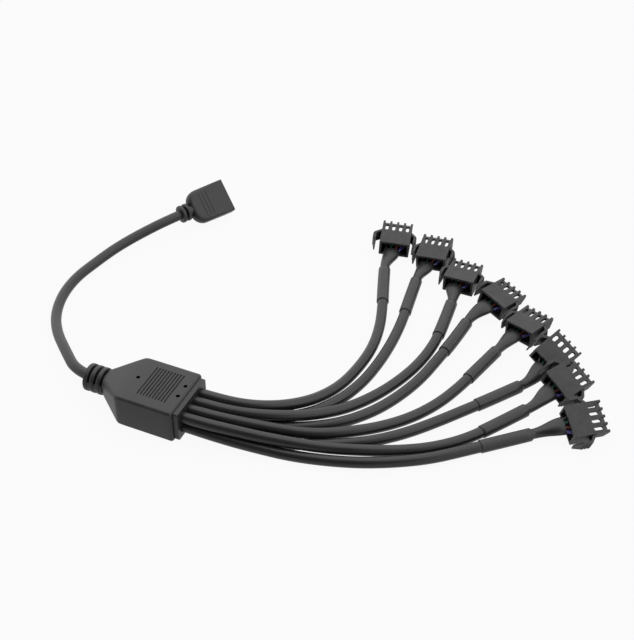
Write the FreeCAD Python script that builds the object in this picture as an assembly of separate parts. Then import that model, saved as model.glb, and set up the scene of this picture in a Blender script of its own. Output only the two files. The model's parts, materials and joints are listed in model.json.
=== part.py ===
"""Eight-way splitter cable for four-wire lighting strips.

A moulded splitter block takes one input lead, with a flat four-way plug on its end, and sends out
eight short leads, each with a heat-shrink sleeve and a latching four-way connector.  Millimetres,
+Z up, origin at the bottom centre of the block, +X from the input lead to the output leads.
"""
import FreeCAD, Part
import math
import os

# Leads
cable_d = 3.6
core_d = 0.9
core_spread = 0.65
bore_clearance = 0.05
arc_share = 0.45

# Splitter block
body_length = 19.65
body_width = 20.5
body_height = 12.0
body_edge_r = 0.85
taper_length = 8.8
tip_width = 8.0
tip_height = 7.8
tip_corner_r = 3.0
relief_rings = 3
ring_width = 1.6
ring_gap = 0.72
ring_d = 9.0
ring_edge = 0.4
relief_core_d = 5.8
relief_web = 3.0
block_wall = 1.3
side_wall = 1.9
lead_axis_z = 5.9

# Ribbed thumb pad and moulding pin marks on the block's top
pad_grooves = 10
pad_pitch = 1.06
pad_width = 13.2
pad_depth = 0.3
groove_width = 0.4
pad_centre = (10.4, 0.4)
pin_mark_d = 1.3
pin_mark_depth = 1.0
pin_mark_places = ((2.3, 0.5), (17.7, 2.9), (17.7, -1.9))

# Collar that carries the output leads
collar_out = 1.65
collar_step = 0.7
collar_side_step = 1.1
collar_edge_r = 0.7
spigot_length = 1.5
lead_pitch = 3.8
row_gap = 3.8
leads_per_row = 4
jacket_inside = 0.5
fit_clearance = 0.05

# Junction board inside the block
board_thickness = 1.0
board_length = 8.6
board_margin = 0.8
slot_depth = 0.5
rail_width = 0.9
rail_pitch = 1.7
rail_inset = 0.9

# Heat-shrink sleeve on each output lead
sleeve_d = 4.2
shoulder_d = 4.0
neck_d = 3.2
neck_run = 2.4
flare_run = 2.6
flare_width = 4.2
flare_height = 3.2
mouth_width = 5.6
mouth_height = 3.0
mouth_gap = 0.7
mouth_z = 2.3

# Latching connector on each output lead
ways = 4
way_pitch = 2.5
shell_length = 6.7
shell_width = 10.75
shell_height = 6.0
shell_wall = 0.75
recess_depth = 3.6
contact_size = 1.8
crimp_length = 0.8
crimp_size = 1.2
front_wall = 0.7
pin_hole = 1.0
nose_length = 5.0
side_fin_height = 3.4
fin_height = 1.4
fin_thickness = 0.75
fin_rake = 1.0
web_thickness = 0.9
web_run = 4.5
web_drop = 0.6
window_start = 0.2
window_length = 2.9
window_width = 1.15
wing_root = 0.6
wing_back = 2.0
wing_run = 3.0
wing_thickness = 0.9
wing_z = (1.6, 5.7)
tail_run = 2.8
tail_lean = 0.6
tail_thickness = 0.4
tail_z = (2.0, 4.4)
ridge_count = 3
ridge_size = 0.2

# Flat plug on the input lead
plug_length = 16.1
plug_width = 12.6
plug_thickness = 4.5
plug_corner_r = 4.6
plug_edge_r = 0.6
plug_rings = 2
plug_ring_d = 6.5
plug_ring_width = 1.6
plug_ring_gap = 0.5
plug_relief_core_d = 4.8
plug_pitch = 2.54
socket_length = 6.0
socket_width = 10.4
socket_height = 2.7
socket_hole = 1.1
grip_grooves = 3
grip_pitch = 1.5
grip_start = 4.9
grip_width = 0.5
grip_depth = 0.2
grip_margin = 1.2
plug_place = (-32.7, 92.6)
plug_yaw = 61.2
plug_roll = 43.0

# Each connector: x and y of its back edge, rise off the floor, yaw, roll and pitch
connector_poses = (
    (43.3, 105.4, 0, 104.7, 2.8, 4.4),
    (58.6, 103.1, 0, 95.9, -3.0, 5.9),
    (71.6, 94.5, 0, 91.1, -0.6, -2.9),
    (85.1, 88.2, 0, 67.5, 9.3, -5.7),
    (98.7, 78.9, 0, 70.2, -1.9, -1.9),
    (110.0, 66.8, 0, 66.6, 27.3, 8.8),
    (117.0, 55.4, 1.6, 59.2, 20.0, 3.2),
    (125.1, 43.1, 0, 38.4, 23.0, -0.9),
)
# Side shift of each sleeve's mouth, and how far each connector's left and right wings stand out
mouth_shifts = (0.6, 1.4, 0.8, 0.6, 1.0, -0.6, 0.0, 0.2)
wing_reaches = ((2.6, 1.9), (1.9, 2.1), (2.1, 2.4), (2.4, 2.1),
                (2.1, 2.5), (2.5, 2.5), (2.5, 2.4), (2.4, 2.6))

# Lead routes beyond the collar, far side to near side, upper and lower row by turns
lead_routes = (
    ((34.3, 8.2, 6.65), (43.1, 14.0, 5.05), (50.1, 22.2, 3.35), (54.4, 32.3, 2.25), (56.2, 43.1, 1.85),
     (56.6, 53.9, 1.85), (54.8, 64.7, 2.05), (51.7, 74.5, 2.25), (48.0, 84.2, 2.35), (44.7, 93.5, 2.65)),
    ((33.5, 7.3, 2.75), (41.9, 10.8, 2.15), (50.5, 17.0, 1.85), (56.3, 26.5, 1.85), (59.7, 37.2, 1.85),
     (61.0, 48.1, 1.85), (61.4, 59.1, 1.95), (60.6, 70.1, 2.25), (58.8, 81.0, 2.35), (57.2, 92.1, 2.65)),
    ((34.3, 4.4, 6.75), (44.2, 9.0, 5.25), (53.3, 15.7, 3.75), (60.7, 23.8, 2.55), (66.4, 33.2, 2.05),
     (70.6, 43.0, 1.85), (73.5, 53.5, 1.95), (74.6, 64.2, 2.25), (73.8, 74.9, 2.35), (72.6, 85.5, 2.65)),
    ((33.9, 3.5, 2.95), (44.0, 6.6, 2.25), (53.8, 11.2, 1.85), (61.7, 18.5, 1.85), (68.3, 27.2, 1.85),
     (72.9, 36.9, 1.85), (76.3, 47.1, 1.95), (78.3, 57.6, 2.25), (79.9, 67.8, 2.35), (80.8, 78.0, 2.65)),
    ((34.7, 0.5, 6.65), (45.4, 3.9, 5.35), (55.7, 7.7, 3.95), (64.9, 13.4, 2.95), (73.2, 20.5, 2.25),
     (80.2, 28.5, 1.85), (85.6, 37.8, 1.95), (89.2, 47.6, 2.25), (91.8, 57.9, 2.35), (94.5, 68.3, 2.65)),
    ((33.9, -1.2, 3.05), (43.9, 0.3, 2.15), (53.9, 3.7, 1.85), (63.6, 8.2, 1.85), (72.8, 13.8, 1.85),
     (80.7, 21.0, 1.85), (87.6, 29.5, 1.95), (94.0, 37.9, 2.25), (100.3, 46.4, 2.35), (106.6, 55.2, 2.75)),
    ((33.3, -4.3, 7.25), (42.3, -2.3, 6.55), (52.3, 0.5, 5.15), (62.3, 4.1, 3.95), (72.1, 8.2, 2.95),
     (81.7, 13.1, 2.2), (91.0, 19.1, 1.95), (99.1, 26.5, 2.25), (105.6, 35.3, 3.05), (112.1, 44.0, 4.25)),
    ((33.3, -5.1, 3.45), (42.6, -3.8, 2.45), (52.4, -2.3, 1.95), (62.9, 0.3, 1.85), (73.1, 4.1, 1.85),
     (82.9, 8.9, 1.85), (92.0, 14.7, 1.95), (100.2, 21.7, 2.25), (108.2, 28.8, 2.35), (116.3, 35.9, 2.75)),
)
first_turn = 24.0

# Input lead between the block's strain relief and the plug's
input_route = (
    (-32.6, 7.9, 5.15), (-41.8, 16.5, 3.35), (-48.2, 25.4, 2.25), (-51.9, 35.4, 1.85),
    (-52.8, 45.6, 1.85), (-51.1, 55.6, 1.95), (-48.5, 65.5, 2.55), (-43.8, 74.4, 3.95),
)
jacket_in_relief = 4.6
lead_out = 4.8


def vec(x, y, z):
    return FreeCAD.Vector(x, y, z)


def block(x0, x1, y0, y1, z0, z1):
    """A box between two corners."""
    return Part.makeBox(x1 - x0, y1 - y0, z1 - z0, vec(x0, y0, z0))


def rod(diameter, x0, x1, y, z):
    """A round bar along X."""
    return Part.makeCylinder(diameter / 2, x1 - x0, vec(x0, y, z), vec(1, 0, 0))


def section(x, width, z0, z1, radius):
    """A rounded rectangle across X, as a wire."""
    y = width / 2
    corners = ((y - radius, z1 - radius, 0), (-y + radius, z1 - radius, 90),
               (-y + radius, z0 + radius, 180), (y - radius, z0 + radius, 270))

    def rim(cy, cz, degrees):
        turn = math.radians(degrees)
        return vec(x, cy + radius * math.cos(turn), cz + radius * math.sin(turn))

    edges = []
    for (cy, cz, start), (ny, nz, following) in zip(corners, corners[1:] + corners[:1]):
        edges.append(Part.Arc(rim(cy, cz, start), rim(cy, cz, start + 45), rim(cy, cz, start + 90)))
        edges.append(Part.LineSegment(rim(cy, cz, start + 90), rim(ny, nz, following)))
    return Part.Wire([edge.toShape() for edge in edges])


def round_edges(solid, radius, wanted):
    """Fillet the edges that the test picks."""
    return solid.makeFillet(radius, [edge for edge in solid.Edges if wanted(edge)])


def ring(diameter, x0, x1, z):
    """A disc along X with both rims bevelled."""
    disc = rod(diameter, x0, x1, 0, z)
    return disc.makeChamfer(ring_edge, [edge for edge in disc.Edges if len(edge.Vertexes) == 1])


def cord_edges(points):
    """Straight runs joined by tangent arcs, as large as the shorter run allows, with their radii."""
    edges = []
    radii = []
    start = points[0]
    for before, corner, after in zip(points, points[1:], points[2:]):
        arriving = corner - before
        leaving = after - corner
        turn = arriving.getAngle(leaving)
        setback = arc_share * min(arriving.Length, leaving.Length)
        radius = setback / math.tan(turn / 2)
        arriving.normalize()
        leaving.normalize()
        inward = (leaving - arriving).normalize()
        touch = corner - arriving * setback
        leave = corner + leaving * setback
        middle = corner + inward * (radius / math.cos(turn / 2) - radius)
        edges.append(Part.LineSegment(start, touch).toShape())
        edges.append(Part.Arc(touch, middle, leave).toShape())
        radii.append(radius)
        start = leave
    edges.append(Part.LineSegment(start, points[-1]).toShape())
    return edges, radii


def tube(edges, diameter):
    """A round solid along a path of edges."""
    path = Part.Wire(edges)
    first = edges[0]
    start = first.valueAt(first.FirstParameter)
    rim = Part.makeCircle(diameter / 2, start, first.tangentAt(first.FirstParameter))
    return path.makePipeShell([Part.Wire([rim])], True, False)


def oval(centre, normal, across, width, height):
    """An ellipse across a direction, its long axis level, as a wire."""
    flat = across - normal * across.dot(normal)
    flat.normalize()
    standing = normal.cross(flat)
    tall_end = centre + standing * (height / 2)
    wide_end = centre + flat * (width / 2)
    if width > height:
        return Part.Wire([Part.Ellipse(wide_end, tall_end, centre).toShape()])
    rim = Part.Circle()
    rim.Center = centre
    rim.Axis = normal
    rim.Radius = width / 2
    return Part.Wire([rim.toShape()])


def core(start, end):
    """One insulated wire between two planes across X."""
    rim = Part.makeCircle(core_d / 2, start, vec(1, 0, 0))
    return Part.Face(Part.Wire([rim])).extrude(end - start)


def way_places(pitch, count):
    """Even places about zero, left to right."""
    return [pitch * ((count - 1) / 2 - index) for index in range(count)]


# Stations along the block, its middle at zero
relief_length = relief_rings * (ring_width + ring_gap)
block_length = relief_length + taper_length + body_length + collar_out
x_front = block_length / 2
x_collar = x_front - collar_out
x_body = x_collar - body_length
x_tip = x_body - taper_length
x_relief = x_tip - relief_length
x_jacket = x_collar - spigot_length - jacket_inside
row_heights = (lead_axis_z + row_gap / 2, lead_axis_z - row_gap / 2)
pocket_y = body_width / 2 - side_wall
pocket_z = (block_wall, 2 * lead_axis_z - block_wall)
x_pocket = x_body + block_wall
core_colours = ("black", "green", "red", "blue")
rail_order = ("green", "red", "black", "blue")
cores = {colour: [] for colour in core_colours}


def make_housing():
    """The moulded block: straight body, taper, ringed strain relief, thumb pad and inner pocket."""
    body = Part.Face(section(x_body, body_width, 0, body_height, body_edge_r))
    body = body.extrude(vec(body_length, 0, 0))
    tip = section(x_tip, tip_width, lead_axis_z - tip_height / 2, lead_axis_z + tip_height / 2, tip_corner_r)
    root = section(x_body, body_width, 0, body_height, body_edge_r)
    housing = body.fuse(Part.makeLoft([tip, root], True, True))
    housing = housing.fuse(rod(relief_core_d, x_relief, x_tip, 0, lead_axis_z))
    for index in range(relief_rings):
        x0 = x_relief + index * (ring_width + ring_gap)
        housing = housing.fuse(ring(ring_d, x0, x0 + ring_width, lead_axis_z))
    web_y = ring_d / 2 - 2 * ring_edge
    web = block(x_relief + ring_width / 2, x_tip, -web_y, web_y, lead_axis_z - relief_web / 2,
                lead_axis_z + relief_web / 2)
    housing = housing.fuse(web).removeSplitter()
    for index in range(pad_grooves):
        x = x_body + pad_centre[0] + (index - (pad_grooves - 1) / 2) * pad_pitch
        housing = housing.cut(block(x - groove_width / 2, x + groove_width / 2, pad_centre[1] - pad_width / 2,
                                    pad_centre[1] + pad_width / 2, body_height - pad_depth,
                                    body_height + pad_depth))
    for along, across in pin_mark_places:
        mark = Part.makeCylinder(pin_mark_d / 2, pin_mark_depth,
                                 vec(x_body + along, across, body_height - pin_mark_depth))
        housing = housing.cut(mark)
    bore_d = cable_d + 2 * bore_clearance
    housing = housing.cut(rod(bore_d, x_relief, x_pocket, 0, lead_axis_z))
    housing = housing.cut(block(x_pocket, x_collar, -pocket_y, pocket_y, *pocket_z))
    slot_y = pocket_y + slot_depth
    half = board_thickness / 2 + fit_clearance
    return housing.cut(block(x_pocket, x_collar, -slot_y, slot_y, lead_axis_z - half, lead_axis_z + half))


def lead_places():
    """Side place and height of each lead at the collar, upper and lower row by turns."""
    return [(y, z) for y in way_places(lead_pitch, leads_per_row) for z in row_heights]


def make_collar():
    """The collar plate and the spigot that closes the pocket, bored for the eight leads."""
    width = body_width - 2 * collar_side_step
    plate = Part.Face(section(x_collar, width, collar_step, body_height - collar_step, collar_edge_r))
    collar = plate.extrude(vec(collar_out, 0, 0))
    spigot_y = pocket_y - fit_clearance
    collar = collar.fuse(block(x_collar - spigot_length, x_collar, -spigot_y, spigot_y,
                               pocket_z[0] + fit_clearance, pocket_z[1] - fit_clearance))
    for y, z in lead_places():
        collar = collar.cut(rod(cable_d + 2 * bore_clearance, x_collar - spigot_length, x_front, y, z))
    return collar


board_x1 = x_jacket - board_margin
board_x0 = board_x1 - board_length
rail_places = [board_x1 - rail_inset - rail_width / 2 - index * rail_pitch for index in range(ways)]


def make_board():
    """The junction board, held by its edges in the pocket's side slots, and its four bus rails."""
    y = pocket_y + slot_depth - fit_clearance
    z0 = lead_axis_z - board_thickness / 2
    board = block(board_x0, board_x1, -y, y, z0, z0 + board_thickness)
    rail_y = pocket_y - rail_width
    rails = [block(x - rail_width / 2, x + rail_width / 2, -rail_y, rail_y, z0, z0 + board_thickness)
             for x in rail_places]
    for rail in rails:
        board = board.cut(rail)
    return board, Part.makeCompound(rails)


def add_board_cores():
    """Wires from each lead's jacket down onto the bus rails, and from the input lead to both faces."""
    lie = board_thickness / 2 + core_d / 2
    spread = core_spread
    fan = way_places((lead_pitch - core_d) / (ways - 1), ways)
    for y, z in lead_places():
        side = 1 if z > lead_axis_z else -1
        for across, colour in zip(fan, core_colours):
            outer = 1 if abs(across) == fan[0] else -1
            start = vec(x_jacket, y + math.copysign(spread, across), z + side * outer * spread)
            end = vec(rail_places[rail_order.index(colour)], y + across, lead_axis_z + side * lie)
            cores[colour].append(core(start, end))
    x_end = x_relief + jacket_in_relief
    for index, colour in enumerate(core_colours):
        side = 1 if index < 2 else -1
        across = spread if index % 2 else -spread
        start = vec(x_end, across, lead_axis_z + side * spread)
        end = vec(board_x0, across, lead_axis_z + side * spread)
        cores[colour].append(core(start, end))


def bar(x0, x1, y, size):
    """A square bar along X at the connector's middle height."""
    middle = shell_height / 2
    return block(x0, x1, y - size / 2, y + size / 2, middle - size / 2, middle + size / 2)


def window(y):
    """A round-ended slot through the nose's top web, in front of one way."""
    x0 = shell_length + window_start
    end_r = window_width / 2
    z0 = shell_height - 2 * web_thickness
    slot = block(x0 + end_r, x0 + window_length - end_r, y - end_r, y + end_r, z0, shell_height)
    for x in (x0 + end_r, x0 + window_length - end_r):
        slot = slot.fuse(Part.makeCylinder(end_r, shell_height - z0, vec(x, y, z0)))
    return slot


def prism(outline, y, width):
    """An outline in the XZ plane, made solid along Y."""
    points = [vec(x, y, z) for x, z in outline]
    return Part.Face(Part.makePolygon(points + points[:1])).extrude(vec(0, width, 0))


def make_connector(reaches):
    """The latching housing: open-backed shell, finned nose with through windows, two latch wings."""
    half = shell_width / 2
    solid = block(0, shell_length, -half, half, 0, shell_height)
    solid = solid.cut(block(0, recess_depth, -half + shell_wall, half - shell_wall,
                            shell_wall, shell_height - shell_wall))
    nose_end = shell_length + nose_length
    lip = shell_length + window_start + window_length
    web_end = shell_length + web_run
    web_low = shell_height - web_thickness
    web = [(shell_length, web_low), (lip, web_low), (web_end, web_low - web_drop),
           (web_end, shell_height - web_drop), (lip, shell_height), (shell_length, shell_height)]
    nose_width = ways * way_pitch + fin_thickness
    solid = solid.fuse(prism(web, -nose_width / 2, nose_width))
    for index in range(ways + 1):
        low = shell_height - (side_fin_height if index in (0, ways) else fin_height)
        fin = [(shell_length, low), (web_end - fin_rake, low), (nose_end, shell_height - fin_rake),
               (nose_end, shell_height), (shell_length, shell_height)]
        solid = solid.fuse(prism(fin, (index - ways / 2) * way_pitch - fin_thickness / 2, fin_thickness))
    for y in way_places(way_pitch, ways):
        solid = solid.cut(window(y))
        solid = solid.cut(bar(recess_depth, shell_length - front_wall, y, contact_size + 2 * fit_clearance))
        solid = solid.cut(bar(shell_length - front_wall, shell_length, y, pin_hole))
    for side, reach in zip((1, -1), reaches):
        solid = solid.fuse(make_wing(side, reach))
    return solid.removeSplitter()


def make_wing(side, reach):
    """A latch wing: a strip swept out and back from the nose's root, with finger ridges and a slim tail."""
    half = shell_width / 2
    outer = half + reach
    inner = outer - wing_thickness
    start = shell_length + wing_root
    bend = start - wing_back
    turn = math.atan2(wing_back, reach)
    tail = bend - wing_run
    root = wing_thickness / math.cos(turn)
    plan = [(start, half), (bend, outer), (tail, outer), (tail, inner),
            (bend - wing_thickness * math.tan(turn / 2), inner), (start - root, half)]
    low, high = wing_z
    outline = [vec(x, side * y, low) for x, y in plan]
    wing = Part.Face(Part.makePolygon(outline + outline[:1])).extrude(vec(0, 0, high - low))
    pitch = wing_run / ridge_count
    for index in range(ridge_count):
        x = bend - (index + 0.5) * pitch
        faces = sorted((side * outer, side * (outer + ridge_size)))
        wing = wing.fuse(block(x - ridge_size, x, faces[0], faces[1], low, high))
    ends = []
    for x, y0, y1, z0, z1 in ((tail, inner, outer, low, high),
                              (tail - tail_run, outer - tail_lean - tail_thickness, outer - tail_lean, *tail_z)):
        rim = [vec(x, side * y0, z0), vec(x, side * y1, z0), vec(x, side * y1, z1), vec(x, side * y0, z1)]
        ends.append(Part.makePolygon(rim + rim[:1]))
    return wing.fuse(Part.makeLoft(ends, True, True))


def make_contacts():
    """Four crimp contacts in their cavities: a square socket body and a slimmer crimp."""
    crimp_end = recess_depth + crimp_length
    solids = []
    for y in way_places(way_pitch, ways):
        body = bar(crimp_end, shell_length - front_wall, y, contact_size)
        body = body.cut(bar(crimp_end, shell_length - front_wall, y, pin_hole))
        solids.append(body.fuse(bar(recess_depth, crimp_end, y, crimp_size)))
    return Part.makeCompound(solids)


def connector_cores(shift):
    """Four wires from the sleeve's mouth to the crimp barrels, by colour, in the connector's frame."""
    middle = shell_height / 2
    mouth_pitch = (mouth_width - 2 * core_d) / (ways - 1)
    starts = way_places(mouth_pitch, ways)
    ends = way_places(way_pitch, ways)
    return [core(vec(-mouth_gap, shift + y0, mouth_z), vec(recess_depth, y1, middle))
            for y0, y1 in zip(starts, ends)]


def make_sleeve(edges, placement, shift):
    """Heat-shrink: a snug tube over the jacket's end, a step, a neck and a flat flared mouth."""
    last = edges[-1]
    end = last.valueAt(last.LastParameter)
    along = last.tangentAt(last.LastParameter)
    turn = placement.Rotation
    forward = turn.multVec(vec(1, 0, 0))
    across = turn.multVec(vec(0, 1, 0))
    mouth = placement.multVec(vec(-mouth_gap, shift, mouth_z))
    level = vec(0, 0, 1).cross(along)
    flare_start = mouth - forward * flare_run
    rims = [oval(end, along, level, shoulder_d, shoulder_d),
            oval(end + along * neck_run, along, level, neck_d, neck_d),
            oval(flare_start, forward, across, flare_width, flare_height),
            oval(mouth, forward, across, mouth_width, mouth_height)]
    neck = Part.makeLoft(rims, True, False)
    snug = tube(edges[-3:], sleeve_d).cut(tube(edges[-3:], cable_d + 2 * bore_clearance))
    return snug.fuse(neck)


def is_upright(edge):
    """An edge along Z."""
    return edge.BoundBox.ZLength > max(edge.BoundBox.XLength, edge.BoundBox.YLength)


plug_relief_length = plug_rings * (plug_ring_width + plug_ring_gap)
plug_jacket = jacket_in_relief - plug_relief_length
socket_rear = plug_length - socket_length


def make_plug():
    """The flat moulded plug in its own frame, rear at zero: body, rings, grip grooves, socket seat."""
    y = plug_width / 2
    z = plug_thickness / 2
    plug = block(0, plug_length, -y, y, -z, z)
    plug = round_edges(plug, plug_corner_r, lambda e: is_upright(e) and e.CenterOfMass.x < plug_corner_r)
    plug = round_edges(plug, plug_edge_r, lambda e: abs(abs(e.CenterOfMass.z) - z) < plug_edge_r / 2
                       and e.CenterOfMass.x < plug_length - plug_edge_r)
    plug = plug.fuse(rod(plug_relief_core_d, -plug_relief_length, 0, 0, 0))
    for index in range(plug_rings):
        x0 = -plug_relief_length + index * (plug_ring_width + plug_ring_gap)
        plug = plug.fuse(ring(plug_ring_d, x0, x0 + plug_ring_width, 0))
    grip_y = y - grip_margin
    for index in range(grip_grooves):
        x = grip_start + index * grip_pitch
        for side in (1, -1):
            faces = sorted((side * (z - grip_depth), side * (z + grip_depth)))
            plug = plug.cut(block(x - grip_width / 2, x + grip_width / 2, -grip_y, grip_y, *faces))
    seat_y = socket_width / 2 + fit_clearance
    seat_z = socket_height / 2 + fit_clearance
    plug = plug.cut(block(socket_rear - fit_clearance, plug_length, -seat_y, seat_y, -seat_z, seat_z))
    plug = plug.cut(rod(cable_d + 2 * bore_clearance, -plug_relief_length, plug_jacket, 0, 0))
    fan = [section(x, width, -socket_height / 2, socket_height / 2, core_d / 2)
           for x, width in ((plug_jacket, cable_d - core_d), (socket_rear, socket_width - core_d))]
    return plug.cut(Part.makeLoft(fan, True, True))


def make_socket():
    """The plug's socket insert with its four square holes, and the contacts at their rear ends."""
    y = socket_width / 2
    z = socket_height / 2
    socket = block(socket_rear, plug_length, -y, y, -z, z)
    hole = socket_hole / 2
    pin = hole - fit_clearance
    contacts = []
    for place in way_places(plug_pitch, ways):
        socket = socket.cut(block(socket_rear, plug_length, place - hole, place + hole, -hole, hole))
        contacts.append(block(socket_rear, plug_length - socket_length / 2, place - pin, place + pin, -pin, pin))
    return socket, Part.makeCompound(contacts)


def plug_cores():
    """Four wires from the input jacket's end to the socket contacts, by colour."""
    spread = core_d / 2 + fit_clearance
    starts = ((spread, spread), (spread, -spread), (-spread, spread), (-spread, -spread))
    return [core(vec(plug_jacket, y0, z0), vec(socket_rear, y1, 0))
            for (y0, z0), y1 in zip(starts, way_places(plug_pitch, ways))]


def lay_down(solid, x, y, rise, yaw, roll, pitch):
    """The placement that turns a piece and sets its lowest point at a height over the floor."""
    turn = FreeCAD.Rotation(yaw, -pitch, roll)
    moved = solid.copy()
    moved.Placement = FreeCAD.Placement(vec(x, y, 0), turn)
    return FreeCAD.Placement(vec(x, y, rise - moved.BoundBox.ZMin), turn)


def placed(solid, placement):
    """A copy of a piece, put where it lies."""
    moved = solid.copy()
    moved.Placement = placement
    return moved


def save(node, solid):
    """Write one node, after a test that its solids are sound."""
    if not solid.isValid():
        print("not valid:", node)
    solid.exportStep("parts/" + node + ".step")
    print(node, len(solid.Solids), round(solid.Volume, 2))


def save_cord(node, edges, radii):
    """Write a lead's tube and compare its volume with its section times its length."""
    solid = tube(edges, cable_d)
    length = sum(edge.Length for edge in edges)
    expected = math.pi * cable_d ** 2 / 4 * length
    save(node, solid)
    print("  length", round(length, 1), "volume ratio", round(solid.Volume / expected, 5),
          "radii", [round(radius, 1) for radius in radii])


os.makedirs("parts", exist_ok=True)
save("splitter_housing", make_housing())
save("cable_collar", make_collar())
junction_board, bus_rails = make_board()
save("junction_board", junction_board)
save("bus_rails", bus_rails)
add_board_cores()

plug = make_plug()
plug_lie = lay_down(plug, *plug_place, 0, plug_yaw, plug_roll, 0)
socket, socket_contacts = make_socket()
save("input_plug", placed(plug, plug_lie))
save("plug_socket", placed(socket, plug_lie))
save("plug_contacts", placed(socket_contacts, plug_lie))
for colour, wire in zip(core_colours, plug_cores()):
    cores[colour].append(placed(wire, plug_lie))

input_points = [vec(x_relief + jacket_in_relief, 0, lead_axis_z), vec(x_relief - lead_out, 0, lead_axis_z)]
input_points += [vec(*point) for point in input_route]
input_points += [plug_lie.multVec(vec(-plug_relief_length - lead_out, 0, 0)),
                 plug_lie.multVec(vec(plug_jacket, 0, 0))]
save_cord("input_cable", *cord_edges(input_points))

contacts = make_contacts()
leads = zip(lead_places(), lead_routes, connector_poses, mouth_shifts, wing_reaches)
for number, ((lead_y, lead_z), route, pose, shift, reaches) in enumerate(leads, 1):
    points = [vec(x_jacket, lead_y, lead_z), vec(first_turn, lead_y, lead_z)] + [vec(*point) for point in route]
    lead_edges, lead_radii = cord_edges(points)
    save_cord("output_cable_%d" % number, lead_edges, lead_radii)
    connector = make_connector(reaches)
    lie = lay_down(connector, *pose)
    save("sleeve_%d" % number, make_sleeve(lead_edges, lie, shift))
    save("connector_%d" % number, placed(connector, lie))
    save("contacts_%d" % number, placed(contacts, lie))
    for colour, wire in zip(core_colours, connector_cores(shift)):
        cores[colour].append(placed(wire, lie))

for colour in core_colours:
    save(colour + "_cores", Part.makeCompound(cores[colour]))
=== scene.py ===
"""An eight-way splitter cable for colour lighting strips, dressed for its picture.

Metres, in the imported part's frame: +X from the input lead to the output leads, +Z up.
"""
import bmesh
import bpy
import json
import math
from mathutils import Matrix, Vector


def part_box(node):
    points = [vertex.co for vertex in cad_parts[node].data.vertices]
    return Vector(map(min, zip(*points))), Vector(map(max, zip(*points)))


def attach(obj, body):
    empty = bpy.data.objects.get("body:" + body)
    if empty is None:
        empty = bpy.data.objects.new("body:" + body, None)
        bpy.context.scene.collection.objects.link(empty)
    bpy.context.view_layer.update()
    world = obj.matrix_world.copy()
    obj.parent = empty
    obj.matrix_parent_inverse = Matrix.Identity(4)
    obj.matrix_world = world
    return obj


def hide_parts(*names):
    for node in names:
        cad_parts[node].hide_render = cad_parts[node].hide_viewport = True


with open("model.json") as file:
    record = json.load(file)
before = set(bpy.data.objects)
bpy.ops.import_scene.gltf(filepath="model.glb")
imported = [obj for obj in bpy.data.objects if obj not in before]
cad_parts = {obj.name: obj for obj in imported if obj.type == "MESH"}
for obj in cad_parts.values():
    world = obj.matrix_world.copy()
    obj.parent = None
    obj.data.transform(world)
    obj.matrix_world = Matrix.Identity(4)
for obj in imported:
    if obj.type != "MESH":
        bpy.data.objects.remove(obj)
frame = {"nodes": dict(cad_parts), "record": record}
nodes = frame["nodes"]
mounts = {mount["name"]: mount for mount in frame["record"]["mounts"]}
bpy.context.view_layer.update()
upward = Vector((0, 0, 1))


# Studio: the cable lies on a pale table, seen from above its output side with a long lens.
# The room is a white tent that is open towards the camera, with soft boxes above and to the right,
# so light comes softly from behind and above, and the near sides stay dark.
scene = bpy.context.scene
scene.view_settings.view_transform = "Standard"

camera_eye = Vector((0.1777, -0.25787, 0.2960))
camera_target = Vector((0.0330, 0.06153, 0.0))
camera_lens = 75.76
camera_sensor = 36.0
camera_data = bpy.data.cameras.new("camera")
camera_data.lens = camera_lens
camera_data.sensor_width = camera_sensor
camera = bpy.data.objects.new("camera", camera_data)
camera.location = camera_eye
camera.rotation_euler = (camera_target - camera_eye).to_track_quat("-Z", "Y").to_euler()
scene.collection.objects.link(camera)
scene.camera = camera

paper_white = (0.956, 0.956, 0.956, 1)
tent_white = (1.0, 1.0, 1.0, 1)
tent_opening = (0.04, 0.04, 0.04, 1)
tent_front = (0.0, -0.80, 0.60)
tent_edges = (0.66, 0.82)
tent_strength = 1.72
table_size = 4.0
table_cells = 8
table_glow = 0.96
table_tone = (0.970, 0.970, 0.970, 1)
table_paper_tone = (0.5, 0.5, 0.5, 1)
lamp_aim = (0.03, 0.05, 0.0)


def seen_directly(tree):
    """One for rays that come straight from the camera or by a mirror-like path, nought for the rest."""
    path = tree.nodes.new("ShaderNodeLightPath")
    glossy = tree.nodes.new("ShaderNodeMath")
    glossy.operation = "MAXIMUM"
    through = tree.nodes.new("ShaderNodeMath")
    through.operation = "MAXIMUM"
    tree.links.new(path.outputs["Is Camera Ray"], glossy.inputs[0])
    tree.links.new(path.outputs["Is Glossy Ray"], glossy.inputs[1])
    tree.links.new(glossy.outputs[0], through.inputs[0])
    tree.links.new(path.outputs["Is Transmission Ray"], through.inputs[1])
    return through.outputs[0]


world = bpy.data.worlds.new("studio")
world.use_nodes = True
scene.world = world
tent_tree = world.node_tree
tent = tent_tree.nodes["Background"]
tent.inputs["Strength"].default_value = tent_strength
tent_way = tent_tree.nodes.new("ShaderNodeTexCoord")
tent_turn = tent_tree.nodes.new("ShaderNodeVectorMath")
tent_turn.operation = "DOT_PRODUCT"
tent_turn.inputs[1].default_value = tent_front
tent_fall = tent_tree.nodes.new("ShaderNodeMapRange")
tent_fall.interpolation_type = "SMOOTHSTEP"
tent_fall.inputs["From Min"].default_value = tent_edges[0]
tent_fall.inputs["From Max"].default_value = tent_edges[1]
tent_shade = tent_tree.nodes.new("ShaderNodeMix")
tent_shade.data_type = "RGBA"
tent_shade.inputs["A"].default_value = tent_white
tent_shade.inputs["B"].default_value = tent_opening
backdrop = tent_tree.nodes.new("ShaderNodeBackground")
backdrop.inputs["Color"].default_value = paper_white
tent_mix = tent_tree.nodes.new("ShaderNodeMixShader")
tent_path = tent_tree.nodes.new("ShaderNodeLightPath")
tent_tree.links.new(tent_way.outputs["Generated"], tent_turn.inputs[0])
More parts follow.
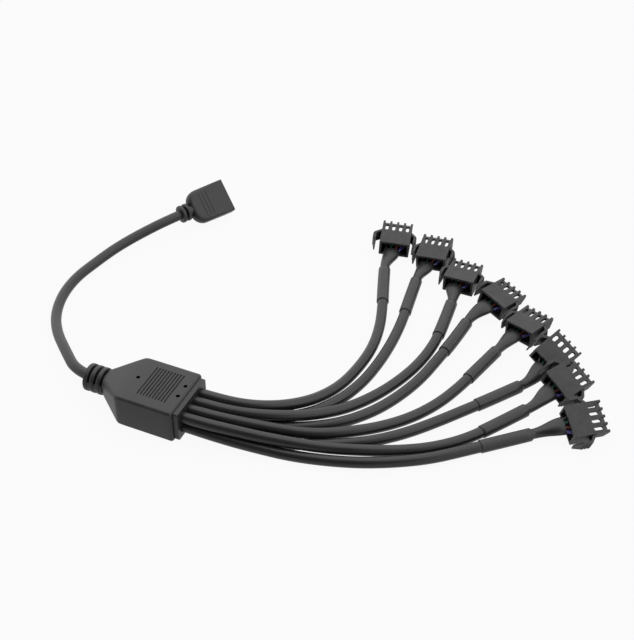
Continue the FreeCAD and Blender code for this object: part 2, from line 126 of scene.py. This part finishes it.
tent_tree.links.new(tent_turn.outputs["Value"], tent_fall.inputs["Value"])
tent_tree.links.new(tent_fall.outputs["Result"], tent_shade.inputs["Factor"])
tent_tree.links.new(tent_shade.outputs["Result"], tent.inputs["Color"])
tent_tree.links.new(tent_path.outputs["Is Camera Ray"], tent_mix.inputs[0])
tent_tree.links.new(tent.outputs[0], tent_mix.inputs[1])
tent_tree.links.new(backdrop.outputs[0], tent_mix.inputs[2])
tent_tree.links.new(tent_mix.outputs[0], tent_tree.nodes["World Output"].inputs["Surface"])

table_mesh = bpy.data.meshes.new("table")
table_shape = bmesh.new()
bmesh.ops.create_grid(table_shape, x_segments=table_cells, y_segments=table_cells, size=table_size / 2)
table_shape.to_mesh(table_mesh)
table_shape.free()
table = bpy.data.objects.new("table", table_mesh)
scene.collection.objects.link(table)
table_paper = bpy.data.materials.new("table_paper")
table_paper.use_nodes = True
paper_tree = table_paper.node_tree
paper = paper_tree.nodes["Principled BSDF"]
paper.inputs["Base Color"].default_value = table_paper_tone
paper.inputs["Roughness"].default_value = 0.9
paper.inputs["Specular IOR Level"].default_value = 0.1
paper_glow = paper_tree.nodes.new("ShaderNodeEmission")
paper_glow.inputs["Color"].default_value = table_tone
paper_mix = paper_tree.nodes.new("ShaderNodeMixShader")
paper_share = paper_tree.nodes.new("ShaderNodeMath")
paper_share.operation = "MULTIPLY"
paper_share.inputs[1].default_value = table_glow
paper_tree.links.new(seen_directly(paper_tree), paper_share.inputs[0])
paper_tree.links.new(paper_share.outputs[0], paper_mix.inputs[0])
paper_tree.links.new(paper.outputs[0], paper_mix.inputs[1])
paper_tree.links.new(paper_glow.outputs[0], paper_mix.inputs[2])
paper_tree.links.new(paper_mix.outputs[0], paper_tree.nodes["Material Output"].inputs["Surface"])
table_mesh.materials.append(table_paper)


def hang_lamp(name, place, aim, size, power):
    """A square soft box that faces a point."""
    lamp_data = bpy.data.lights.new(name, "AREA")
    lamp_data.size = size
    lamp_data.energy = power
    lamp = bpy.data.objects.new(name, lamp_data)
    lamp.location = place
    lamp.rotation_euler = (Vector(aim) - Vector(place)).to_track_quat("-Z", "Y").to_euler()
    scene.collection.objects.link(lamp)


hang_lamp("overhead", (-0.20, 0.30, 1.10), lamp_aim, size=1.2, power=4.0)
hang_lamp("right", (0.85, 0.15, 0.85), lamp_aim, size=0.9, power=2.0)


# Leads: round four-core cable, a satin black jacket extruded over the twisted cores.
# One comes in through the block's strain relief, and eight leave its collar in two rows of four,
# all held by the moulding, and lie in an open fan.
cable_d = 0.0036
lead_columns = 4
lead_pitch = 0.0038
row_gap = 0.0038
lead_axis_z = 0.0059
jacket_inside = 0.00365
first_turn = 0.0240
lead_routes = (
    ((0.0343, 0.0082, 0.0067), (0.0431, 0.0140, 0.0050), (0.0501, 0.0222, 0.0034),
     (0.0544, 0.0323, 0.0022), (0.0562, 0.0431, 0.0019), (0.0566, 0.0539, 0.0019),
     (0.0548, 0.0647, 0.0020), (0.0517, 0.0745, 0.0022), (0.0480, 0.0842, 0.0024),
     (0.0447, 0.0935, 0.0027)),
    ((0.0335, 0.0073, 0.0027), (0.0419, 0.0108, 0.0022), (0.0505, 0.0170, 0.0019),
     (0.0567, 0.0264, 0.0019), (0.0601, 0.0370, 0.0019), (0.0613, 0.0481, 0.0019),
     (0.0614, 0.0591, 0.0019), (0.0606, 0.0701, 0.0022), (0.0588, 0.0810, 0.0024),
     (0.0572, 0.0921, 0.0027)),
    ((0.0343, 0.0044, 0.0067), (0.0442, 0.0090, 0.0055), (0.0533, 0.0157, 0.0038),
     (0.0607, 0.0238, 0.0025), (0.0664, 0.0332, 0.0020), (0.0706, 0.0430, 0.0019),
     (0.0735, 0.0535, 0.0019), (0.0746, 0.0642, 0.0022), (0.0738, 0.0749, 0.0024),
     (0.0726, 0.0855, 0.0027)),
    ((0.0339, 0.0035, 0.0030), (0.0440, 0.0072, 0.0022), (0.0537, 0.0120, 0.0019),
     (0.0621, 0.0183, 0.0019), (0.0688, 0.0269, 0.0019), (0.0734, 0.0366, 0.0019),
     (0.0766, 0.0470, 0.0019), (0.0783, 0.0576, 0.0022), (0.0799, 0.0678, 0.0024),
     (0.0808, 0.0780, 0.0027)),
    ((0.0347, 0.0005, 0.0067), (0.0454, 0.0039, 0.0050), (0.0557, 0.0077, 0.0036),
     (0.0649, 0.0134, 0.0030), (0.0732, 0.0205, 0.0022), (0.0802, 0.0285, 0.0019),
     (0.0856, 0.0378, 0.0019), (0.0892, 0.0476, 0.0022), (0.0918, 0.0579, 0.0024),
     (0.0945, 0.0683, 0.0027)),
    ((0.0339, -0.0012, 0.0030), (0.0439, 0.0003, 0.0022), (0.0539, 0.0037, 0.0019),
     (0.0636, 0.0082, 0.0019), (0.0728, 0.0138, 0.0019), (0.0807, 0.0210, 0.0019),
     (0.0876, 0.0295, 0.0019), (0.0940, 0.0379, 0.0022), (0.1003, 0.0464, 0.0024),
     (0.1066, 0.0552, 0.0027)),
    ((0.0333, -0.0043, 0.0073), (0.0423, -0.0023, 0.0062), (0.0523, 0.0005, 0.0050),
     (0.0623, 0.0041, 0.0036), (0.0721, 0.0082, 0.0030), (0.0817, 0.0131, 0.0022),
     (0.0910, 0.0191, 0.0019), (0.0991, 0.0265, 0.0022), (0.1056, 0.0353, 0.0030),
     (0.1121, 0.0440, 0.0043)),
    ((0.0333, -0.0051, 0.0035), (0.0426, -0.0035, 0.0025), (0.0524, -0.0019, 0.0019),
     (0.0629, 0.0006, 0.0019), (0.0731, 0.0041, 0.0019), (0.0829, 0.0089, 0.0019),
     (0.0920, 0.0147, 0.0019), (0.1002, 0.0217, 0.0022), (0.1082, 0.0288, 0.0024),
     (0.1163, 0.0359, 0.0027)),
)
input_route = (
    (-0.0326, 0.0079, 0.0052), (-0.0418, 0.0165, 0.0034), (-0.0482, 0.0254, 0.0022),
    (-0.0519, 0.0354, 0.0019), (-0.0528, 0.0456, 0.0019), (-0.0511, 0.0556, 0.0019),
    (-0.0485, 0.0655, 0.0025), (-0.0438, 0.0744, 0.0040),
)


def clouded(name, scale, shades, detail=2.0, stops=(0.0, 1.0)):
    """A material whose colour wanders between two shades, with its shader and the noise that leads it."""
    material = bpy.data.materials.new(name)
    material.use_nodes = True
    tree = material.node_tree
    skin = tree.nodes["Principled BSDF"]
    place = tree.nodes.new("ShaderNodeTexCoord")
    cloud = tree.nodes.new("ShaderNodeTexNoise")
    cloud.inputs["Scale"].default_value = scale
    cloud.inputs["Detail"].default_value = detail
    tree.links.new(place.outputs["Object"], cloud.inputs["Vector"])
    ramp = tree.nodes.new("ShaderNodeValToRGB")
    for element, stop, shade in zip(ramp.color_ramp.elements, stops, shades):
        element.position = stop
        element.color = shade
    tree.links.new(cloud.outputs["Fac"], ramp.inputs["Fac"])
    tree.links.new(ramp.outputs["Color"], skin.inputs["Base Color"])
    return material, skin, cloud


def vary_roughness(material, skin, cloud, low, high):
    """Let a material's roughness wander between two limits with its noise."""
    sheen = material.node_tree.nodes.new("ShaderNodeMapRange")
    sheen.inputs["To Min"].default_value = low
    sheen.inputs["To Max"].default_value = high
    material.node_tree.links.new(cloud.outputs["Fac"], sheen.inputs["Value"])
    material.node_tree.links.new(sheen.outputs["Result"], skin.inputs["Roughness"])


def blacks(tone):
    """The two shades of a black plastic, a little cool."""
    spread, coolness = 0.14, 1.03
    return [(level, level, level * coolness, 1) for level in (tone * (1 - spread), tone * (1 + spread))]


def satin(name, shades, roughness, mottle, grain, grain_depth, gloss=0.36):
    """Moulded or extruded plastic: a faint mottle in tone and sheen, and a fine surface grain."""
    material, skin, cloud = clouded(name, mottle, shades, detail=3.0, stops=(0.3, 0.7))
    roughness_spread, grain_height = 0.05, 0.0001
    skin.inputs["Specular IOR Level"].default_value = gloss
    vary_roughness(material, skin, cloud, roughness - roughness_spread, roughness + roughness_spread)
    tree = material.node_tree
    place = tree.nodes.new("ShaderNodeTexCoord")
    pits = tree.nodes.new("ShaderNodeTexNoise")
    pits.inputs["Scale"].default_value = grain
    tree.links.new(place.outputs["Object"], pits.inputs["Vector"])
    bump = tree.nodes.new("ShaderNodeBump")
    bump.inputs["Strength"].default_value = grain_depth
    bump.inputs["Distance"].default_value = grain_height
    tree.links.new(pits.outputs["Fac"], bump.inputs["Height"])
    tree.links.new(bump.outputs["Normal"], skin.inputs["Normal"])
    return material


jacket = satin("lead_jacket", blacks(0.011), roughness=0.34, mottle=90.0, grain=2400.0, grain_depth=0.14,
               gloss=0.345)


def lay_lead(name, points, node):
    """One lead as a round curve along its route, in place of its solid."""
    curve = bpy.data.curves.new(name, "CURVE")
    curve.dimensions = "3D"
    curve.bevel_depth = cable_d / 2
    curve.bevel_resolution = 8
    curve.resolution_u = 10
    curve.use_fill_caps = True
    spline = curve.splines.new("NURBS")
    spline.points.add(len(points) - 1)
    for place, point in zip(spline.points, points):
        place.co = (*point, 1)
    spline.order_u = 3
    spline.use_endpoint_u = True
    curve.materials.append(jacket)
    lead = bpy.data.objects.new(name, curve)
    scene.collection.objects.link(lead)
    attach(lead, "root")
    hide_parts(node)
    return lead


collar_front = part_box("cable_collar")[1].x
relief_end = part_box("splitter_housing")[0].x
lead_places = [(lead_pitch * ((lead_columns - 1) / 2 - column), lead_axis_z + side * row_gap / 2)
               for column in range(lead_columns) for side in (1, -1)]
leads = []
for number, ((y, z), route) in enumerate(zip(lead_places, lead_routes), 1):
    points = [(collar_front - jacket_inside, y, z), (first_turn, y, z), *route]
    leads.append(lay_lead("output_lead_%d" % number, points, "output_cable_%d" % number))

plug_mouth = Vector(mounts["input_socket"]["pos_m"])
plug_axis = Vector(mounts["input_socket"]["axis"])
plug_length = 0.0161
plug_relief_length = 0.0042
jacket_in_relief = 0.0046
lead_out = 0.0048
plug_rear = plug_mouth - plug_axis * plug_length
input_points = [(relief_end + jacket_in_relief, 0, lead_axis_z), (relief_end - lead_out, 0, lead_axis_z),
                *input_route, plug_rear - plug_axis * (plug_relief_length + lead_out),
                plug_rear - plug_axis * (plug_relief_length - jacket_in_relief)]
input_lead = lay_lead("input_lead", input_points, "input_cable")


# Splitter block: a satin black moulding over the joint, with a straight body, a tapered front
# and a ribbed thumb pad on top, marked by the three pins that held the joint in the mould.
body_length = 0.01965
taper_length = 0.0088
body_half = 0.01025
body_height = 0.0120
body_edge = 0.0011
tip_half = 0.0040
tip_low = 0.0020
tip_high = 0.0098
tip_edge = 0.0030
side_bend = 0.0014
top_bend = 0.0050
end_round = 0.0008
end_steps = 4
corner_steps = 8
taper_shares = (0, 0.2, 0.4, 0.55, 0.7)
bend_shares = (-0.9, -0.5, -0.25, 0, 0.25, 0.5, 0.9)
pad_grooves = 10
pad_pitch = 0.00106
pad_centre = (0.0104, 0.0004)
pad_half = 0.0066
pad_share_of_top = 0.8
pad_shares = (1.03, 1, 0.97, 0.5, 0, -0.5, -0.97, -1, -1.03)
groove_half = 0.00016
groove_slope = 0.00012
pad_depth = 0.00036
pin_mark_d = 0.0013
pin_mark_depth = 0.0010
pin_mark_sides = 32
pin_mark_places = ((0.0023, 0.0005), (0.0177, 0.0029), (0.0177, -0.0019))
x_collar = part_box("splitter_housing")[1].x
x_body = x_collar - body_length
x_tip = x_body - taper_length
moulding = satin("block_moulding", blacks(0.011), roughness=0.44, mottle=260.0, grain=3200.0,
                 grain_depth=0.12)


def tapered(x, bend):
    """Share of the taper reached at a station, with its start rounded over a bend."""
    run = x_body + bend / 2 - x
    if run <= 0:
        return 0.0
    return (run * run / (2 * bend) if run < bend else run - bend / 2) / taper_length


def block_outline(x, inset, sunk):
    """The block's outline at a station, as points around X, with the pad's grooves let into the top."""
    side = tapered(x, side_bend)
    over = tapered(x, top_bend)
    half = body_half + (tip_half - body_half) * side - inset
    low = tip_low * over + inset
    high = body_height + (tip_high - body_height) * over - inset
    edge = body_edge + (tip_edge - body_edge) * side
    flat = half - edge
    corners = ((flat, high - edge), (-flat, high - edge), (-flat, low + edge), (flat, low + edge))
    points = []
    for quarter, (across, upright) in enumerate(corners):
        centre = Vector((x, across, upright))
        for step in range(corner_steps + 1):
            turn = math.radians(90 * quarter + 90 * step / corner_steps)
            points.append(centre + Vector((0, math.cos(turn), math.sin(turn))) * edge)
        if quarter == 0:
            reach = min(pad_half, flat * pad_share_of_top)
            for share in pad_shares:
                dip = sunk if abs(share) < 1 else 0
                points.append(Vector((x, pad_centre[1] * (reach / pad_half) + reach * share, high - dip)))
    return points


def loft(shape, outlines):
    """Closed skin through a row of outlines with equal point counts."""
    rings = [[shape.verts.new(point) for point in outline] for outline in outlines]
    for ring, following in zip(rings, rings[1:]):
        for index in range(len(ring)):
            after = (index + 1) % len(ring)
            shape.faces.new((ring[index], ring[after], following[after], following[index]))
    shape.faces.new(list(reversed(rings[0])))
    shape.faces.new(rings[-1])
    bmesh.ops.recalc_face_normals(shape, faces=shape.faces)


def finish_piece(name, shape, material, replaced, crease=35.0, flats=()):
    """Turn a shape into an object on the part, smooth up to a crease angle, in place of its solids."""
    shape.faces.index_update()
    flat_numbers = [face.index for face in flats]
    mesh = bpy.data.meshes.new(name)
    shape.to_mesh(mesh)
    shape.free()
    mesh.shade_smooth()
    mesh.set_sharp_from_angle(angle=math.radians(crease))
    for number in flat_numbers:
        mesh.polygons[number].use_smooth = False
    mesh.materials.append(material)
    piece = bpy.data.objects.new(name, mesh)
    scene.collection.objects.link(piece)
    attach(piece, "root")
    if replaced:
        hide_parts(*replaced)
    return piece


def carve(piece, cutter):
    """Cut a shape out of a piece for good."""
    cutter_mesh = bpy.data.meshes.new("cutter")
    cutter.to_mesh(cutter_mesh)
    cutter.free()
    tool = bpy.data.objects.new("cutter", cutter_mesh)
    scene.collection.objects.link(tool)
    cut = piece.modifiers.new("cut", "BOOLEAN")
    cut.object = tool
    cut.operation = "DIFFERENCE"
    cut.solver = "EXACT"
    bpy.context.view_layer.update()
    carved = bpy.data.meshes.new_from_object(piece.evaluated_get(bpy.context.evaluated_depsgraph_get()))
    piece.modifiers.clear()
    piece.data = carved
    bpy.data.objects.remove(tool)


stations = [(x_tip + taper_length * share, 0) for share in taper_shares]
stations += [(x_body + side_bend * share, 0) for share in bend_shares]
stations += [(x_body + top_bend / 2, 0)]
for index in range(pad_grooves):
    x = x_body + pad_centre[0] + (index - (pad_grooves - 1) / 2) * pad_pitch
    stations += [(x - groove_half - groove_slope, 0), (x - groove_half + groove_slope, pad_depth),
                 (x + groove_half - groove_slope, pad_depth), (x + groove_half + groove_slope, 0)]
outlines = [block_outline(x, 0, sunk) for x, sunk in stations]
for step in range(end_steps + 1):
    turn = math.pi / 2 * step / end_steps
    x = x_collar - end_round * (1 - math.sin(turn))
    outlines.append(block_outline(x, end_round * (1 - math.cos(turn)), 0))
block_shape = bmesh.new()
loft(block_shape, outlines)
block = finish_piece("splitter_block", block_shape, moulding, ["splitter_housing"])
for along, across in pin_mark_places:
    drill = bmesh.new()
    bmesh.ops.create_cone(drill, cap_ends=True, segments=pin_mark_sides, radius1=pin_mark_d / 2,
                          radius2=pin_mark_d / 2, depth=2 * pin_mark_depth,
                          matrix=Matrix.Translation((x_body + along, across, body_height)))
    carve(block, drill)


# Strain relief of the block: three rings on a core, slotted above and below so that it bends,
# moulded in one with the block around the input lead.
relief_rings = 3
ring_width = 0.00145
ring_gap = 0.00087
ring_r = 0.0045
relief_core_r = 0.0029
relief_web = 0.0015
ring_round = 0.0003
slot_slope = 0.00006
web_drop = 0.0002
ring_shares = (0.0, 0.04, 0.15, 0.35, 0.65, 1.0)
relief_sides = 96


def around(steps):
    """Turns spaced evenly round a full circle."""
    return [2 * math.pi * step / steps for step in range(steps)]


def relief_radius(x, turn):
    """Radius of the relief at a station and a turn about its axis: full on the rings and the side webs."""
    span = ring_width + ring_gap
    at = (x - relief_end) % span
    rim = ring_width / 2 - abs(at - ring_width / 2)
    if at > ring_width:
        side = ring_r * abs(math.cos(turn))
        height = ring_r * abs(math.sin(turn))
        if height < relief_web and side > relief_core_r:
            return ring_r - web_drop
        return relief_core_r
    if rim >= ring_round:
        return ring_r
    return ring_r - ring_round + math.sqrt(max(ring_round ** 2 - (ring_round - rim) ** 2, 0))


relief_stations = []
for index in range(relief_rings):
    x = relief_end + index * (ring_width + ring_gap)
    relief_stations += [x + ring_round * share for share in ring_shares]
    relief_stations += [x + ring_width - ring_round * share for share in reversed(ring_shares)]
    relief_stations += [x + ring_width + slot_slope, x + ring_width + ring_gap - slot_slope]
relief_outlines = []
for x in relief_stations:
    outline = []
    for turn in around(relief_sides):
        radius = relief_radius(x, turn)
        outline.append(Vector((x, radius * math.cos(turn), lead_axis_z + radius * math.sin(turn))))
    relief_outlines.append(outline)
relief_shape = bmesh.new()
loft(relief_shape, relief_outlines)
finish_piece("strain_relief", relief_shape, moulding, [])


# Collar: the moulded end plate that closes the block and holds the eight leads in two rows.
# It stands a step inside the block's outline.
collar_break = 0.0003
weld_gap = 1e-7
flat_angle = math.radians(0.5)
sharp_angle = math.radians(30)
facet_breadth = 0.0008


def softened(node, name, width, material):
    """A solid's own mesh with its flat facets joined and its sharp edges broken, in place of the solid."""
    shape = bmesh.new()
    shape.from_mesh(nodes[node].data)
    bmesh.ops.remove_doubles(shape, verts=shape.verts, dist=weld_gap)
    bmesh.ops.dissolve_limit(shape, angle_limit=flat_angle, verts=shape.verts, edges=shape.edges)
    sharp = [edge for edge in shape.edges if edge.is_manifold and edge.calc_face_angle(0) > sharp_angle]
    bent = {face for edge in shape.edges if edge not in sharp and edge.calc_face_angle(0) > flat_angle
            for face in edge.link_faces if 2 * face.calc_area() / face.calc_perimeter() < facet_breadth}
    rims = bmesh.ops.bevel(shape, geom=sharp, offset=width, segments=2, profile=0.5, affect="EDGES",
                           clamp_overlap=True)["faces"]
    flats = set(shape.faces) - set(rims) - bent
    return finish_piece(name, shape, material, [node], flats=flats)


softened("cable_collar", "lead_collar", collar_break, moulding)


# Input plug: a flat satin black moulding with rounded shoulders and three shallow grip grooves on
# each face, and a seat for the socket insert in its open end.
plug_half_width = 0.0063
plug_half_height = 0.00225
plug_corner = 0.0046
plug_round_rear = 0.0017
plug_round_mouth = 0.0006
plug_roll = math.radians(43.0)
socket_depth = 0.00605
socket_half_width = 0.00525
socket_half_height = 0.0014
grip_grooves = 3
grip_start = 0.0049
grip_pitch = 0.0015
grip_half_width = 0.00022
grip_half_length = 0.0046
grip_depth = 0.00014
turn_steps = 7
shoulder_steps = 14
side_steps = 6
plug_level = upward.cross(plug_axis)
plug_across = plug_level * math.cos(plug_roll) + upward * math.sin(plug_roll)
plug_up = plug_axis.cross(plug_across)
plug_place = Matrix((plug_axis, plug_across, plug_up)).transposed().to_4x4()
plug_place.translation = plug_rear


def eased(share):
    """A share that starts and ends gently."""
    return share * share * (3 - 2 * share)


def plug_outline(turn, side):
    """The plug's outline at one turn of its rounded edge, on its upper or lower side."""
    path = []
    for step in range(side_steps):
        path.append((plug_length + (plug_corner - plug_length) * step / side_steps, -plug_half_width, 0, -1))
    for first, across in ((270, -1), (180, 1)):
        for step in range(shoulder_steps + 1):
            angle = math.radians(first - 90 * step / shoulder_steps)
            path.append((plug_corner + plug_corner * math.cos(angle),
                         across * (plug_half_width - plug_corner) + plug_corner * math.sin(angle),
                         math.cos(angle), math.sin(angle)))
    for step in range(side_steps):
        path.append((plug_length + (plug_corner - plug_length) * (side_steps - 1 - step) / side_steps,
                     plug_half_width, 0, 1))
    points = []
    for x, y, out_x, out_y in path:
        share = min(x / plug_length, 1.0)
        rounding = plug_round_rear + (plug_round_mouth - plug_round_rear) * eased(share)
        inset = rounding * (1 - math.sin(turn))
        height = side * (plug_half_height - rounding * (1 - math.cos(turn)))
        points.append(plug_place @ Vector((x - out_x * inset, y - out_y * inset, height)))
    return points


def add_box(shape, low, high):
    """A box in the plug's own frame."""
    size = [top - bottom for bottom, top in zip(low, high)]
    centre = [(top + bottom) / 2 for bottom, top in zip(low, high)]
    bmesh.ops.create_cube(shape, size=1, matrix=plug_place @ Matrix.Translation(centre)
                          @ Matrix.Diagonal((*size, 1)))


turns = [math.pi / 2 * step / turn_steps for step in range(turn_steps + 1)]
plug_shape = bmesh.new()
loft(plug_shape, [plug_outline(turn, -1) for turn in turns]
     + [plug_outline(turn, 1) for turn in reversed(turns)])
plug_flats = [face for face in plug_shape.faces if len(face.verts) > 4]
plug = finish_piece("flat_plug", plug_shape, moulding, ["input_plug"], flats=plug_flats)
plug_cuts = bmesh.new()
add_box(plug_cuts, (plug_length - socket_depth, -socket_half_width, -socket_half_height),
        (plug_length + socket_depth, socket_half_width, socket_half_height))
for index in range(grip_grooves):
    x = grip_start + index * grip_pitch
    for side in (1, -1):
        low, high = sorted((side * (plug_half_height - grip_depth), side * (plug_half_height + grip_depth)))
        add_box(plug_cuts, (x - grip_half_width, -grip_half_length, low),
                (x + grip_half_width, grip_half_length, high))
carve(plug, plug_cuts)


# Strain relief of the plug: two soft rings on a core, moulded in one with it around the lead's end.
plug_rings = 2
plug_ring_r = 0.00325
plug_ring_width = 0.0015
plug_ring_gap = 0.0006
plug_core_r = 0.0020
plug_ring_round = 0.0005
plug_core_end = 0.0010
plug_ring_shares = (0.0, 0.1, 0.3, 0.6, 1.0)
plug_ring_sides = 64
ring_profile = []
for index in range(plug_rings):
    x = -plug_relief_length + index * (plug_ring_width + plug_ring_gap)
    for end, way in ((x, 1), (x + plug_ring_width, -1)):
        for share in plug_ring_shares[::way]:
            fall = plug_ring_round * (1 - math.sqrt(1 - (1 - share) ** 2))
            ring_profile.append((end + way * plug_ring_round * share, plug_ring_r - fall))
    ring_profile.append((x + plug_ring_width + slot_slope, plug_core_r))
    ring_profile.append((x + plug_ring_width + plug_ring_gap - slot_slope, plug_core_r))
ring_profile.append((plug_core_end, plug_core_r))
boot_shape = bmesh.new()
loft(boot_shape, [[plug_place @ Vector((x, radius * math.cos(turn), radius * math.sin(turn)))
                   for turn in around(plug_ring_sides)] for x, radius in ring_profile])
plug_boot = finish_piece("plug_relief", boot_shape, moulding, [])


# Socket insert of the plug: a harder, duller black plastic with four square holes, kept as its solid is.
def dress(node, material):
    """Give a solid that stays as it is its material."""
    nodes[node].data.materials.clear()
    nodes[node].data.materials.append(material)


dress("plug_socket", satin("insert_black", blacks(0.012), roughness=0.55, mottle=400.0, grain=4000.0,
                           grain_depth=0.10))


# Latching connectors: hard black mouldings with an open back, a nose of five fins with four through
# windows, and two latch wings swept back from the shoulders.
connector_break = 0.00012
connector_numbers = range(1, len(leads) + 1)
shell_black = satin("connector_shell", blacks(0.036), roughness=0.46, mottle=420.0, grain=4200.0,
                    grain_depth=0.10, gloss=0.155)
connectors = [softened("connector_%d" % number, "latch_connector_%d" % number, connector_break, shell_black) for number in connector_numbers]


# Heat-shrink sleeves: black tube shrunk over each lead's end, stepping down past the jacket's cut
# and flaring flat into the connector's back around the four wires.
sleeve_runs = (0.0175, 0.0175, 0.0174, 0.0165, 0.0165, 0.0165, 0.0165, 0.0165)
sleeve_r = 0.0021
lip_profile = ((0.0, cable_d / 2), (0.00005, sleeve_r - 0.0001), (0.0002, sleeve_r))
shoulder_run = 0.0007
neck_r = 0.0016
neck_pull = 0.4
mouth_half_width = 0.0030
mouth_half_height = 0.0016
mouth_drop = 0.0006
shell_depth = 0.0067
neck_steps = 18
sleeve_sides = 40
sleeve_crease = 60.0
connector_rolls = (2.8, -3.0, -0.6, 9.3, -1.9, 27.3, 20.0, 23.0)
mouth_gaps = (0.0006, 0.0002, 0.0003, 0.0006, 0.0002, 0.0007, 0.0008, 0.0009)
mouth_shifts = (0.0006, 0.0014, 0.0008, 0.0006, 0.0010, -0.0006, 0.0, 0.0002)
shrink_black = satin("shrink_sleeve", blacks(0.012), roughness=0.36, mottle=300.0, grain=1500.0,
                     grain_depth=0.20)


def centreline(lead):
    """Points along a lead, read from its own spline."""
    bare = lead.copy()
    bare.data = lead.data.copy()
    bare.data.bevel_depth = 0
    bare.data.use_fill_caps = False
    scene.collection.objects.link(bare)
    bpy.context.view_layer.update()
    mesh = bpy.data.meshes.new_from_object(bare.evaluated_get(bpy.context.evaluated_depsgraph_get()))
    points = [vertex.co.copy() for vertex in mesh.vertices]
    bpy.data.objects.remove(bare)
    bpy.data.meshes.remove(mesh)
    return points


def tail(points, run):
    """The last stretch of a line, of a given length."""
    kept = [points[-1]]
    left = run
    for before in reversed(points[:-1]):
        step = (kept[-1] - before).length
        if step >= left:
            kept.append(kept[-1].lerp(before, left / step))
            break
        kept.append(before)
        left -= step
    return list(reversed(kept))


def sleeve_outline(centre, along, across, half_width, half_height):
    """An oval about a point on the sleeve."""
    flat = (across - along * across.dot(along)).normalized()
    up = along.cross(flat)
    return [centre + flat * (half_width * math.cos(turn)) + up * (half_height * math.sin(turn))
            for turn in around(sleeve_sides)]


def make_sleeve(number, lead):
    """The sleeve of one lead: snug run, shoulder, neck and flat flared mouth."""
    mount = mounts["output_socket_%d" % number]
    forward = Vector(mount["axis"])
    level = upward.cross(forward).normalized()
    roll = math.radians(connector_rolls[number - 1])
    across = level * math.cos(roll) + forward.cross(level) * math.sin(roll)
    mouth = Vector(mount["pos_m"]) - forward * (shell_depth + mouth_gaps[number - 1])
    mouth += across * mouth_shifts[number - 1] - forward.cross(across) * mouth_drop
    snug = tail(centreline(lead), sleeve_runs[number - 1])
    outlines = []
    for index, point in enumerate(snug):
        along = (snug[min(index + 1, len(snug) - 1)] - snug[max(index - 1, 0)]).normalized()
        flat = upward.cross(along)
        profile = lip_profile if index == 0 else ((0.0, sleeve_r),)
        outlines += [sleeve_outline(point + along * run, along, flat, radius, radius) for run, radius in profile]
    out = (snug[-1] - snug[-2]).normalized()
    flat_out = upward.cross(out)
    start = snug[-1] + out * shoulder_run
    pull = (mouth - start).length * neck_pull
    handles = (start, start + out * pull, mouth - forward * pull, mouth)
    for step in range(neck_steps + 1):
        share = step / neck_steps
        rest = 1 - share
        centre = (handles[0] * rest ** 3 + handles[1] * 3 * rest ** 2 * share
                  + handles[2] * 3 * rest * share ** 2 + handles[3] * share ** 3)
        along = (out * rest + forward * share).normalized()
        side = (flat_out * rest + across * share).normalized()
        outlines.append(sleeve_outline(centre, along, side,
                                       neck_r + (mouth_half_width - neck_r) * eased(share),
                                       neck_r + (mouth_half_height - neck_r) * eased(share)))
    shape = bmesh.new()
    loft(shape, outlines)
    return finish_piece("shrink_sleeve_%d" % number, shape, shrink_black,
                        ["sleeve_%d" % number], sleeve_crease)


sleeves = [make_sleeve(number, lead) for number, lead in enumerate(leads, 1)]


# Core wires: stranded copper in glossy coloured insulation, faintly streaked, joined to the rails
# inside the block and crimped to the contacts. They show in the connectors' open backs.
wire_colours = {"black": (0.03, 0.03, 0.03), "green": (0.025, 0.12, 0.08), "red": (0.20, 0.05, 0.04),
                "blue": (0.12, 0.11, 0.36)}
wire_streak = 900.0
wire_shades = (0.8, 1.2)
wire_roughness = 0.35
wire_crease = math.radians(35)
for colour, tint in wire_colours.items():
    shades = [(*(part * level for part in tint), 1) for level in wire_shades]
    insulation, wire_skin, _ = clouded(colour + "_insulation", wire_streak, shades)
    wire_skin.inputs["Roughness"].default_value = wire_roughness
    dress(colour + "_cores", insulation)
    wires = nodes[colour + "_cores"].data
    wires.shade_smooth()
    wires.set_sharp_from_angle(angle=wire_crease)


# Contacts and bus rails: tin-plated brass, pressed from strip. The rails lie in the junction board
# inside the block, and the contacts are locked in the connectors and the plug's insert.
tin_grain = 1200.0
tin_shades = ((0.62, 0.58, 0.48, 1), (0.78, 0.75, 0.66, 1))
tin_roughness = (0.25, 0.4)
tinned, tin_skin, tin_cloud = clouded("tinned_brass", tin_grain, tin_shades)
tin_skin.inputs["Metallic"].default_value = 1.0
vary_roughness(tinned, tin_skin, tin_cloud, *tin_roughness)
for node in ["bus_rails", "plug_contacts"] + ["contacts_%d" % number for number in connector_numbers]:
    dress(node, tinned)


# Junction board: a small green-coated glass-fibre board, held by its edges in slots of the block.
board_shades = ((0.03, 0.18, 0.08, 1), (0.05, 0.25, 0.11, 1))
dress("junction_board", satin("board_coat", board_shades, roughness=0.4, mottle=600.0, grain=2000.0,
                              grain_depth=0.08))
